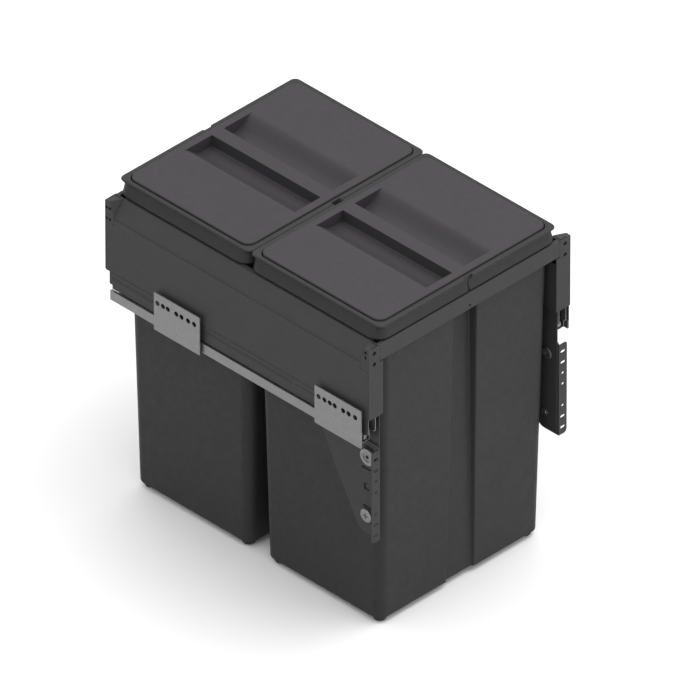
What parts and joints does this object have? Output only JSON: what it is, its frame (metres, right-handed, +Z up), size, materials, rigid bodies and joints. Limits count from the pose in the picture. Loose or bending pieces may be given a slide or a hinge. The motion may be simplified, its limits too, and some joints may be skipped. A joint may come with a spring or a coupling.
{
  "type": "pull-out waste bin unit",
  "caption": "Pull-out waste unit for a kitchen base cabinet: tall tapered bins with scooped lids hang in a steel frame on telescopic slides.",
  "frame": {"origin": "under the middle of the unit's bounding box, level with the undersides of the bins' feet", "axes": "+X to the right and +Y to the back as seen from the front, +Z up; the unit pulls out along -Y"},
  "size_m": [0.356, 0.451, 0.4574],
  "materials": {
    "powder_coated_steel": "fine matt anthracite powder coat",
    "zinc_plated_steel": "zinc-plated, satin",
    "slide_cage": "plated cage with hardened balls",
    "damper_plastic": "smooth moulded",
    "bin_plastic": "finely grained polypropylene",
    "lid_plastic": "finely grained polypropylene"
  },
  "bodies": {
    "cabinet_side": {"left_cabinet_rail": "zinc_plated_steel", "right_cabinet_rail": "zinc_plated_steel", "left_front_cabinet_bracket": "zinc_plated_steel", "right_front_cabinet_bracket": "zinc_plated_steel", "left_rear_cabinet_bracket": "zinc_plated_steel", "right_rear_cabinet_bracket": "zinc_plated_steel", "left_soft_close_housing": "damper_plastic", "right_soft_close_housing": "damper_plastic"},
    "carriage": {"left_drawer_rail": "zinc_plated_steel", "right_drawer_rail": "zinc_plated_steel", "left_side_panel": "powder_coated_steel", "right_side_panel": "powder_coated_steel", "left_side_skirt": "powder_coated_steel", "right_side_skirt": "powder_coated_steel", "left_front_corner": "powder_coated_steel", "right_front_corner": "powder_coated_steel", "left_rear_corner": "powder_coated_steel", "right_rear_corner": "powder_coated_steel", "left_support_arm": "powder_coated_steel", "right_support_arm": "powder_coated_steel", "left_clamp_screw": "zinc_plated_steel", "right_clamp_screw": "zinc_plated_steel", "left_clamp_nut": "zinc_plated_steel", "right_clamp_nut": "zinc_plated_steel", "front_rail": "powder_coated_steel", "rear_rail": "powder_coated_steel"},
    "left_mid": {"left_mid_rail": "zinc_plated_steel"},
    "left_lower_cage": {"left_lower_ball_cage": "slide_cage"},
    "left_upper_cage": {"left_upper_ball_cage": "slide_cage"},
    "left_catch": {"left_soft_close_catch": "damper_plastic"},
    "left_cam": {"left_height_cam": "zinc_plated_steel", "left_cam_washer": "zinc_plated_steel"},
    "left_door_mount": {"left_door_bracket": "powder_coated_steel"},
    "right_mid": {"right_mid_rail": "zinc_plated_steel"},
    "right_lower_cage": {"right_lower_ball_cage": "slide_cage"},
    "right_upper_cage": {"right_upper_ball_cage": "slide_cage"},
    "right_catch": {"right_soft_close_catch": "damper_plastic"},
    "right_cam": {"right_height_cam": "zinc_plated_steel", "right_cam_washer": "zinc_plated_steel"},
    "right_door_mount": {"right_door_bracket": "powder_coated_steel"},
    "front_bin_unit": {"front_bin": "bin_plastic", "front_collar": "bin_plastic"},
    "front_lid_body": {"front_lid": "lid_plastic"},
    "rear_bin_unit": {"rear_bin": "bin_plastic", "rear_collar": "bin_plastic"},
    "rear_lid_body": {"rear_lid": "lid_plastic"}
  },
  "joints": [
    {"name": "carriage_slide", "type": "slide", "parent": "cabinet_side", "child": "carriage", "axis": [0, -1, 0], "range_m": [0, 0.44]},
    {"name": "left_mid_slide", "type": "slide", "parent": "cabinet_side", "child": "left_mid", "axis": [0, -1, 0], "range_m": [0, 0.22]},
    {"name": "left_lower_cage_slide", "type": "slide", "parent": "cabinet_side", "child": "left_lower_cage", "axis": [0, -1, 0], "range_m": [0, 0.11]},
    {"name": "left_upper_cage_slide", "type": "slide", "parent": "cabinet_side", "child": "left_upper_cage", "axis": [0, -1, 0], "range_m": [0, 0.33]},
    {"name": "right_mid_slide", "type": "slide", "parent": "cabinet_side", "child": "right_mid", "axis": [0, -1, 0], "range_m": [0, 0.22]},
    {"name": "right_lower_cage_slide", "type": "slide", "parent": "cabinet_side", "child": "right_lower_cage", "axis": [0, -1, 0], "range_m": [0, 0.11]},
    {"name": "right_upper_cage_slide", "type": "slide", "parent": "cabinet_side", "child": "right_upper_cage", "axis": [0, -1, 0], "range_m": [0, 0.33]},
    {"name": "front_bin_lift", "type": "slide", "parent": "carriage", "child": "front_bin_unit", "axis": [0, 0, 1], "range_m": [0, 0.46]},
    {"name": "front_lid_lift", "type": "slide", "parent": "front_bin_unit", "child": "front_lid_body", "axis": [0, 0, 1], "range_m": [0, 0.25]},
    {"name": "rear_bin_lift", "type": "slide", "parent": "carriage", "child": "rear_bin_unit", "axis": [0, 0, 1], "range_m": [0, 0.46]},
    {"name": "rear_lid_lift", "type": "slide", "parent": "rear_bin_unit", "child": "rear_lid_body", "axis": [0, 0, 1], "range_m": [0, 0.25]},
    {"name": "left_cam_turn", "type": "hinge", "parent": "carriage", "child": "left_cam", "pos_m": [-0.1565, -0.2074, 0.2602], "axis": [1, 0, 0], "range_deg": [-60, 60]},
    {"name": "left_door_mount_lift", "type": "slide", "parent": "carriage", "child": "left_door_mount", "axis": [0, 0, 1], "range_m": [-0.002, 0.002]},
    {"name": "right_cam_turn", "type": "hinge", "parent": "carriage", "child": "right_cam", "pos_m": [0.1565, -0.2074, 0.2602], "axis": [1, 0, 0], "range_deg": [-60, 60]},
    {"name": "right_door_mount_lift", "type": "slide", "parent": "carriage", "child": "right_door_mount", "axis": [0, 0, 1], "range_m": [-0.002, 0.002]},
    {"name": "left_catch_slide", "type": "slide", "parent": "cabinet_side", "child": "left_catch", "axis": [0, -1, 0], "range_m": [0, 0.04], "stiffness_N_per_m": 150},
    {"name": "right_catch_slide", "type": "slide", "parent": "cabinet_side", "child": "right_catch", "axis": [0, -1, 0], "range_m": [0, 0.04], "stiffness_N_per_m": 150}
  ],
  "couplings": [
    {"joint": "left_mid_slide", "follows": "carriage_slide", "ratio": 0.5},
    {"joint": "left_lower_cage_slide", "follows": "carriage_slide", "ratio": 0.25},
    {"joint": "left_upper_cage_slide", "follows": "carriage_slide", "ratio": 0.75},
    {"joint": "right_mid_slide", "follows": "carriage_slide", "ratio": 0.5},
    {"joint": "right_lower_cage_slide", "follows": "carriage_slide", "ratio": 0.25},
    {"joint": "right_upper_cage_slide", "follows": "carriage_slide", "ratio": 0.75},
    {"joint": "left_cam_turn", "follows": "left_door_mount_lift", "rad_per_m": 500},
    {"joint": "right_cam_turn", "follows": "right_door_mount_lift", "rad_per_m": 500},
    {"joint": "right_catch_slide", "follows": "left_catch_slide", "ratio": 1}
  ]
}
